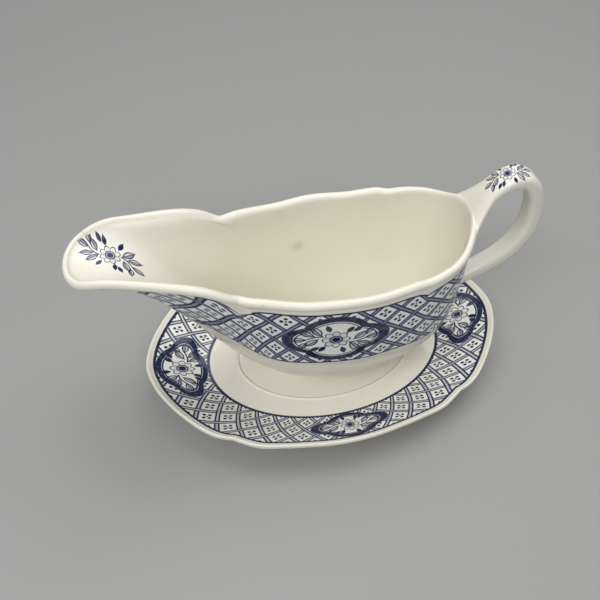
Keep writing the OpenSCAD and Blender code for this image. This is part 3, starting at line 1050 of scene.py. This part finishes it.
def build_reserve():
    """Window of a quatrefoil of the given half-width and half-height, and its frame with the line."""
    draw, source, result = new_group("reserve", ["X", "Y", "Half Width", "Half Height"],
                                     {"Window": NUMBER, "Frame": NUMBER})
    x = draw.math("DIVIDE", source["X"], source["Half Width"])
    y = draw.math("DIVIDE", source["Y"], source["Half Height"])
    swing = draw.size(draw.math("COSINE", draw.mul(draw.math("ARCTAN2", y, x), LOBES)))
    edge = draw.math("MULTIPLY_ADD", swing, LOBE_DEPTH, 1 - LOBE_DEPTH)
    part = draw.math("DIVIDE", draw.length(x, y), edge)
    outer, inner, hair = (draw.mul(draw.sub(part, ring), source["Half Height"]) for ring in FRAME_RINGS)
    window = draw.inside(outer)
    draw.feed(result["Window"], window)
    draw.feed(result["Frame"], draw.either(draw.without(window, draw.inside(inner)), draw.line(hair, PEN)))
    tell_group(draw)


build_reserve()


# %% [markdown]
# ## The glaze
#
# Every piece wears the same cream glaze. Its colour drifts a little, as the glaze is thicker in one
# place than another; a few iron specks and fine crazing show in it; and the print lies over them,
# never quite even, because tissue transfers ink unevenly. One plain colour would look like plastic.
# One group makes the colour, the roughness and a faint height, and each material feeds it its print.

# %% Glaze group
CREAM_PALE, CREAM_WARM = (0.85, 0.825, 0.735, 1), (0.80, 0.765, 0.655, 1)
NAVY, NAVY_PALE = (0.002, 0.005, 0.030, 1), (0.010, 0.022, 0.095, 1)
WASH_BLUE = (0.06, 0.095, 0.235, 1)
HAZE_WHITE = (0.865, 0.88, 0.865, 1)
STAIN_THIN, STAIN_THICK = (0.62, 0.46, 0.10, 1), (0.36, 0.21, 0.06, 1)
# Noise scales, from the slow drift of the cream to the grain of the ink
CREAM_DRIFT, CRAZE_PATCHES, RIPPLES, CRAZE_WANDER, INK_GRAIN = 22.0, 30.0, 90.0, 260.0, 700.0
FINE_DETAIL = 3.0
SPECK_CELLS, SPECK_SIZE, SPECK_SOFT, SPECK_SHARE = 130.0, 0.045, 0.03, 0.22
SPECK_STAIN, SPECK_PIT = 0.5, 0.4
CRAZE_CELLS, CRAZE_HALF, CRAZE_SOFT, CRAZE_STAIN = 190.0, 0.012, 0.015, 0.16
CRAZE_BEND = (0.0025, 0.0025, 0.0025)
# Change with the grain, and least strength, of the wash and the ink; the same for the roughness
WASH_GRAIN, WASH_LEAST = 0.5, 0.75
INK_CHANGE, INK_LEAST = 0.25, 0.86
ROUGH_CHANGE, ROUGH_LEAST = 0.06, 0.03


def glaze_flaws(draw, place):
    """Iron specks, in a share of the cells, and crazing along the edges of other, bent cells."""
    cells = draw.cells(place, SPECK_CELLS)
    chosen = draw.math("LESS_THAN", draw.split(cells["Color"])[0], SPECK_SHARE)
    speck = draw.mul(draw.inside(draw.sub(cells["Distance"], SPECK_SIZE), SPECK_SOFT), chosen)
    wander = draw.add_node("ShaderNodeVectorMath", operation="MULTIPLY_ADD")
    bent = (draw.noise(place, CRAZE_WANDER, output="Color"), CRAZE_BEND, place)
    for socket, value in zip(wander.inputs, bent):
        draw.feed(socket, value)
    edge = draw.cells(wander.outputs[0], CRAZE_CELLS, feature="DISTANCE_TO_EDGE")["Distance"]
    crack = draw.inside(draw.sub(edge, CRAZE_HALF), CRAZE_SOFT)
    return speck, draw.mul(crack, draw.noise(place, CRAZE_PATCHES))


def build_glaze():
    """Colour, roughness and height of the glaze over Ink, Wash, Haze and Stain, each from 0 to 1."""
    draw, source, result = new_group("cream_glaze", ["Ink", "Wash", "Haze", "Stain"],
                                     {"Color": COLOUR, "Roughness": NUMBER, "Height": NUMBER})
    place = draw.place()
    cream = draw.colour(draw.noise(place, CREAM_DRIFT, FINE_DETAIL), CREAM_PALE, CREAM_WARM)
    cream = draw.colour(source["Haze"], cream, HAZE_WHITE)
    speck, craze = glaze_flaws(draw, place)
    stain = draw.either(source["Stain"], draw.mul(speck, SPECK_STAIN), draw.mul(craze, CRAZE_STAIN))
    stained = draw.colour(stain, cream, draw.colour(stain, STAIN_THIN, STAIN_THICK))
    grain = draw.noise(place, INK_GRAIN, FINE_DETAIL)
    washed = draw.math("MULTIPLY_ADD", grain, WASH_GRAIN, WASH_LEAST, clamp=True)
    inked = draw.math("MULTIPLY_ADD", grain, INK_CHANGE, INK_LEAST, clamp=True)
    colour = draw.colour(draw.mul(source["Wash"], washed), stained, WASH_BLUE)
    colour = draw.colour(draw.mul(source["Ink"], inked), colour, draw.colour(grain, NAVY, NAVY_PALE))
    ripple = draw.noise(place, RIPPLES)
    draw.feed(result["Color"], colour)
    draw.feed(result["Roughness"], draw.math("MULTIPLY_ADD", ripple, ROUGH_CHANGE, ROUGH_LEAST))
    draw.feed(result["Height"], draw.sub(ripple, draw.mul(speck, SPECK_PIT)))
    tell_group(draw)


build_glaze()


# %% [markdown]
# ## The materials
#
# Each material is a Principled shader with the glaze on it. What differs is the print, so helpers
# start a material, put a sprig in its place, lay a printed band, and join it all to the shader. A
# band has border lines along the rims, as a banding wheel would lay them, and trellis between.

# %% Material helpers
GLAZE_IOR = 1.34
BUMP_STRENGTH, BUMP_DISTANCE = 0.25, 0.0004
HAZE_REACH, HAZE_FADE = 15.0, 8.0
SPRIG_HAZE = 0.35
BAND_LINE = 0.55
BISCUIT, BISCUIT_ROUGH = (0.62, 0.53, 0.40, 1), 0.6


def new_glaze_material(name):
    """Material with a Principled shader and the print map's two distances."""
    material = bpy.data.materials.new(name)
    material.use_nodes = True
    draw = Drawing(material.node_tree)
    across, down, _ = draw.split(draw.add_node("ShaderNodeUVMap", uv_map=PRINT_MAP).outputs[0])
    return material, draw, across, down


def finish_glaze(material, draw, ink=0.0, wash=0.0, haze=0.0, stain=0.0, bare=0.0):
    """Feeds the print to the glaze group and the group to the shader, with bare clay where it is worn."""
    glaze = use_group(draw, "cream_glaze", ink, wash, haze, stain)
    colour, roughness = glaze["Color"], glaze["Roughness"]
    if bare:
        colour = draw.colour(bare, colour, BISCUIT)
        roughness = draw.math("MULTIPLY_ADD", bare, BISCUIT_ROUGH, roughness)
    bump = draw.add_node("ShaderNodeBump")
    draw.feed(bump.inputs["Strength"], BUMP_STRENGTH)
    draw.feed(bump.inputs["Distance"], BUMP_DISTANCE)
    draw.feed(bump.inputs["Height"], glaze["Height"])
    shader = material.node_tree.nodes["Principled BSDF"]
    draw.feed(shader.inputs["IOR"], GLAZE_IOR)
    draw.feed(shader.inputs["Base Color"], colour)
    draw.feed(shader.inputs["Roughness"], roughness)
    draw.feed(shader.inputs["Normal"], bump.outputs[0])
    print(material.name, "material:", len(draw.tree.nodes), "nodes")
    return material


def sprig_at(draw, x, y, scale):
    """Sprig drawn at a part of its full size."""
    return use_group(draw, "sprig", draw.mul(x, 1 / scale), draw.mul(y, 1 / scale))


def haze_round(draw, x, y, scale):
    """Bluish white that the ink gives to the glaze round a sprig, fading outwards."""
    away = draw.math("MULTIPLY_ADD", draw.length(x, y), 1 / scale, -HAZE_REACH)
    return draw.mul(draw.inside(away, HAZE_FADE), SPRIG_HAZE)


def printed_band(draw, across, down, x, edges, finer, reserve_half, sprig_scale, lath_wash):
    """Ink and wash of a band between two edges, and its ground and window: lines along the edges,
    trellis at a finer scale, and a framed sprig wherever x is 0."""
    y = draw.sub(sum(edges) / 2, down)
    band = draw.inside(draw.sub(draw.size(y), (edges[1] - edges[0]) / 2))
    lines = [draw.line(draw.sub(down, edge), BAND_LINE) for edge in edges]
    trellis = use_group(draw, "trellis", draw.mul(across, finer), draw.mul(y, finer))
    reserve = use_group(draw, "reserve", x, y, *reserve_half)
    sprig = sprig_at(draw, x, y, sprig_scale)
    window = reserve["Window"]
    ground = draw.without(band, window)
    ink = draw.either(draw.mul(trellis["Ink"], ground), *lines, draw.mul(reserve["Frame"], band),
                      draw.mul(sprig["Ink"], window))
    laths = draw.mul(trellis["Wash"], draw.mul(ground, lath_wash))
    return ink, draw.either(laths, draw.mul(sprig["Wash"], window)), ground, window


# %% [markdown]
# The bowl has one band round its outside, with a reserve in the middle of each side, and a small
# sprig inside the lip. It is an old piece: a hairline runs in the lip, another crosses the near rim,
# and a spot inside has an ochre ring. A bump would be lost at this size, so they are only stains.

# %% Bowl wear
WOBBLE_NOISE, WOBBLE = 220.0, 0.9
LIP_HAIR = dict(at=(-95.8, 13.0), turn=-38, half=3.8, pen=0.1, stain=0.85)
LIP_HAIR_DEPTH = 7
LIP_HALO, LIP_HALO_SOFT, LIP_HALO_STAIN = 1.5, 3.5, 0.13
RIM_HAIR = dict(x=-40.7, z=91.9, lean=0.2, pen=0.09, wobble=0.6, stain=0.6)
RIM_HAIR_DOWN, RIM_HAIR_HALF = -5.0, 6.5
SPOT = (-3.2, 28.9, 60.5)
SPOT_RING, SPOT_HALF, SPOT_SOFT, SPOT_STAIN = 1.8, 0.3, 0.7, 0.5
SPOT_HALO, SPOT_HALO_SOFT, SPOT_HALO_STAIN = 3.4, 4.0, 0.27


def bowl_hairlines(draw, place, wobble, down):
    """Stain of the hairline in the lip, with a faint halo, and of the one that leans over the rim."""
    x, y, z = place
    u, v = draw.turned(x, y, LIP_HAIR["at"], LIP_HAIR["turn"])
    near = draw.mul(draw.inside(draw.sub(draw.size(u), LIP_HAIR["half"])),
                    draw.inside(draw.sub(down, BEAD_TOP + LIP_HAIR_DEPTH)))
    lip_line = draw.mul(draw.line(draw.add(v, wobble), LIP_HAIR["pen"]), LIP_HAIR["stain"])
    halo = draw.mul(draw.inside(draw.sub(draw.size(v), LIP_HALO), LIP_HALO_SOFT), LIP_HALO_STAIN)
    lean = draw.mul(draw.sub(RIM_HAIR["z"], z), RIM_HAIR["lean"])
    across = draw.add(draw.sub(x, RIM_HAIR["x"]), lean)
    rim_line = draw.line(draw.add(across, draw.mul(wobble, RIM_HAIR["wobble"])), RIM_HAIR["pen"])
    past_end = draw.sub(draw.size(draw.sub(down, RIM_HAIR_DOWN)), RIM_HAIR_HALF)
    over_rim = draw.mul(draw.inside(past_end), draw.inside(y))
    rim_stain = draw.mul(draw.mul(rim_line, over_rim), RIM_HAIR["stain"])
    return draw.either(draw.mul(draw.either(lip_line, halo), near), rim_stain)


def bowl_spot(draw, place, wobble):
    """Stain of the spot: a ring and a halo by the distance from its middle."""
    away = draw.add(draw.length(*(draw.sub(v, at) for v, at in zip(place, SPOT))), wobble)
    ring = draw.inside(draw.sub(draw.size(draw.sub(away, SPOT_RING)), SPOT_HALF), SPOT_SOFT)
    halo = draw.inside(draw.sub(away, SPOT_HALO), SPOT_HALO_SOFT)
    return draw.either(draw.mul(ring, SPOT_STAIN), draw.mul(halo, SPOT_HALO_STAIN))


# %% Bowl material
BOWL_BAND = (2.4, 41.2)
BOWL_RESERVE = (25.0, 17.6)
BOWL_SPRIG_SCALE = 1.12
WINDOW_HAZE = 0.75
LIP_SPRIG, LIP_SPRIG_TURN, LIP_SPRIG_SCALE = (-87.5, 5.5), -28, 0.7
INNER_MARGIN = 0.5


def bowl_material():
    """Glaze with the band outside, the lip's sprig inside and the age marks."""
    material, draw, across, down = new_glaze_material("bowl_glaze")
    ink, wash, ground, window = printed_band(draw, across, down, across, BOWL_BAND, 1.0, BOWL_RESERVE,
                                             BOWL_SPRIG_SCALE, 1.0)
    haze = draw.either(ground, draw.mul(window, WINDOW_HAZE))
    place = [draw.mul(v, 1 / MM) for v in draw.split(draw.place())]
    inner = draw.inside(draw.sub(down, BEAD_TOP - INNER_MARGIN))
    on_lip = draw.turned(place[0], place[1], LIP_SPRIG, LIP_SPRIG_TURN)
    lip = sprig_at(draw, *on_lip, LIP_SPRIG_SCALE)
    ink = draw.either(ink, draw.mul(lip["Ink"], inner))
    wash = draw.either(wash, draw.mul(lip["Wash"], inner))
    haze = draw.either(haze, draw.mul(haze_round(draw, *on_lip, LIP_SPRIG_SCALE), inner))
    wobble = draw.math("MULTIPLY_ADD", draw.noise(draw.place(), WOBBLE_NOISE), WOBBLE, -WOBBLE / 2)
    spot = draw.mul(bowl_spot(draw, place, wobble), inner)
    stain = draw.either(bowl_hairlines(draw, place, wobble, down), spot)
    return finish_glaze(material, draw, ink, wash, haze, stain)


bowl.data.materials.append(bowl_material())


# %% [markdown]
# The stand's border carries the same band at a finer scale, so that a whole number of laths goes
# round it, with a reserve at the middle of each end and each side. The distance round is wrapped
# into quarters, which puts all four in place at once.

# %% Stand material
STAND_BAND = (3.2, 23.6)
STAND_PITCH = 11.6
STAND_RESERVES = 4
STAND_RESERVE = (20.0, 9.8)
STAND_SPRIG_SCALE = 0.82
STAND_WASH, STAND_HAZE = 0.55, 0.6


def stand_material():
    """Glaze with the printed border."""
    material, draw, across, down = new_glaze_material("stand_glaze")
    quarter = STAND_ROUND / STAND_RESERVES
    finer = TRELLIS_PITCH * round(quarter / STAND_PITCH) / quarter
    x = draw.math("WRAP", across, quarter / 2, -quarter / 2)
    ink, wash, ground, window = printed_band(draw, across, down, x, STAND_BAND, finer, STAND_RESERVE,
                                             STAND_SPRIG_SCALE, STAND_WASH)
    return finish_glaze(material, draw, ink, wash, draw.mul(draw.add(ground, window), STAND_HAZE))


stand.data.materials.append(stand_material())


# %% [markdown]
# The handle has one small sprig on top, where a thumb would rest. The foot rings have no print: the
# glaze was wiped or ground off the land that they stand on, and bare biscuit shows there with a
# ragged edge. A second material could do that, but a mask by height keeps each ring in one piece.

# %% Handle and foot materials
HANDLE_SPRIG_PART, HANDLE_SPRIG_SCALE = 0.232, 0.6
RAGGED_NOISE, RAGGED_CHANGE, RAGGED_LEAST, RAGGED_SOFT = 400.0, 0.6, 0.1, 0.25
LAND_STAIN = 0.2


def handle_material():
    """Glaze with a sprig at a part of the strap's run."""
    material, draw, along, aside = new_glaze_material("handle_glaze")
    middle = float(np.interp(HANDLE_SPRIG_PART, strap_parts[::-1], handle_along[strap][::-1]))
    along = draw.sub(along, middle)
    sprig = sprig_at(draw, along, aside, HANDLE_SPRIG_SCALE)
    haze = haze_round(draw, along, aside, HANDLE_SPRIG_SCALE)
    return finish_glaze(material, draw, sprig["Ink"], sprig["Wash"], haze)


def foot_material():
    """Glaze, ground off the land that the ring stands on."""
    material, draw, _, above_land = new_glaze_material("foot_glaze")
    ragged = draw.math("MULTIPLY_ADD", draw.noise(draw.place(), RAGGED_NOISE), RAGGED_CHANGE, RAGGED_LEAST)
    bare = draw.inside(draw.sub(above_land, ragged), RAGGED_SOFT)
    return finish_glaze(material, draw, stain=draw.mul(bare, LAND_STAIN), bare=bare)


handle.data.materials.append(handle_material())
foot_finish = foot_material()
for ring in (boat_foot, stand_foot):
    ring.data.materials.append(foot_finish)


# %% [markdown]
# ## Floor and light
#
# The set stands on plain grey paper that fades into a grey backdrop of the same tone. A curved sweep
# would do that in a real studio; here the far floor simply turns into the backdrop's grey where it is
# seen, so there is no horizon. Closer in, it stays a surface and keeps the shadow.

# %% Floor
FLOOR_HALF, FLOOR_DROP = 3.0, 0.00005
FLOOR_PALE, FLOOR_DARK = (0.33, 0.33, 0.325, 1), (0.312, 0.312, 0.308, 1)
FLOOR_NOISE, FLOOR_ROUGH = 3.0, 0.7
BACKDROP_FROM, BACKDROP_TO = 0.6, 1.6
STUDIO_GREY = 0.37


def seen(draw):
    """1 for rays that show the room itself: straight to the camera, in a gloss or through glass."""
    rays = draw.add_node("ShaderNodeLightPath").outputs
    return draw.either(*(rays["Is %s Ray" % kind] for kind in ("Camera", "Glossy", "Transmission")))


def floor_material():
    """Grey paper that turns into an even grey between two distances from the middle."""
    material = bpy.data.materials.new("floor_paper")
    material.use_nodes = True
    draw = Drawing(material.node_tree)
    place = draw.place()
    paper = material.node_tree.nodes["Principled BSDF"]
    draw.feed(paper.inputs["Base Color"], draw.colour(draw.noise(place, FLOOR_NOISE), FLOOR_PALE, FLOOR_DARK))
    draw.feed(paper.inputs["Roughness"], FLOOR_ROUGH)
    away = draw.add_node("ShaderNodeVectorMath", operation="LENGTH")
    draw.feed(away.inputs[0], place)
    fade = draw.add_node("ShaderNodeMapRange", interpolation_type="SMOOTHSTEP")
    draw.feed(fade.inputs["Value"], away.outputs["Value"])
    draw.feed(fade.inputs["From Min"], BACKDROP_FROM)
    draw.feed(fade.inputs["From Max"], BACKDROP_TO)
    backdrop = draw.add_node("ShaderNodeEmission")
    draw.feed(backdrop.inputs["Strength"], STUDIO_GREY)
    blend = draw.add_node("ShaderNodeMixShader")
    mixed = (draw.mul(fade.outputs["Result"], seen(draw)), paper.outputs[0], backdrop.outputs[0])
    for socket, value in zip(blend.inputs, mixed):
        draw.feed(socket, value)
    draw.feed(material.node_tree.nodes["Material Output"].inputs["Surface"], blend.outputs[0])
    return material


def add_floor():
    """Flat square floor just below the stand's foot."""
    x, y = np.meshgrid([-FLOOR_HALF, FLOOR_HALF], [-FLOOR_HALF, FLOOR_HALF])
    points = np.stack([x, y, np.full_like(x, -FLOOR_DROP)], -1).reshape(-1, 3)
    mesh = bpy.data.meshes.new("floor")
    mesh.from_pydata(points.tolist(), [], [(0, 1, 3, 2)])
    mesh.materials.append(floor_material())
    floor = add_object("floor", mesh)


add_floor()
print("floor", 2 * FLOOR_HALF, "m square")


# %% [markdown]
# Four soft boxes light it: a large one above, one behind on the right, a narrow one in front on the
# left, and a weak one in front. One lamp would leave hard shadows and burnt highlights. None of them
# stands where the stand would mirror it to the camera, or its print would be veiled. The room itself
# adds a weak even light, and looks as grey as the backdrop where it is seen or mirrored.

# %% Light
ROOM_LIGHT = 0.1
LAMP_AIM = Vector((0, 0, 0.05))
# Name, place, length and breadth in metres, and watts
LAMPS = [("top_box", (-0.2, 0.1, 1.25), 1.0, 1.0, 3.5),
         ("left_box", (-0.54, -0.54, 0.98), 1.0, 0.3, 7.0),
         ("back_box", (0.38, 0.3, 1.17), 1.0, 0.8, 8.0),
         ("front_box", (0.0, -1.0, 0.85), 0.6, 0.6, 2.5)]


def add_lamp(name, place, length, breadth, power):
    """Oblong area lamp, aimed at the boat."""
    data = bpy.data.lights.new(name, "AREA")
    data.shape = "RECTANGLE"
    data.size = length
    data.size_y = breadth
    data.energy = power
    lamp = add_object(name, data)
    lamp.location = place
    lamp.rotation_euler = (lamp.location - LAMP_AIM).to_track_quat("Z", "Y").to_euler()


def add_studio():
    """Even grey room: a weak light, and a paler grey where it is seen, mirrored or seen through."""
    world = bpy.data.worlds.new("studio")
    world.use_nodes = True
    draw = Drawing(world.node_tree)
    background = world.node_tree.nodes["Background"]
    draw.feed(background.inputs["Color"], (1.0, 1.0, 1.0, 1))
    strength = draw.math("MULTIPLY_ADD", seen(draw), STUDIO_GREY - ROOM_LIGHT, ROOM_LIGHT)
    draw.feed(background.inputs["Strength"], strength)
    bpy.context.scene.world = world


for lamp in LAMPS:
    add_lamp(*lamp)
add_studio()
bpy.context.scene.view_settings.view_transform = "Standard"
print("lamps:", [(name, power) for name, _, _, _, power in LAMPS])
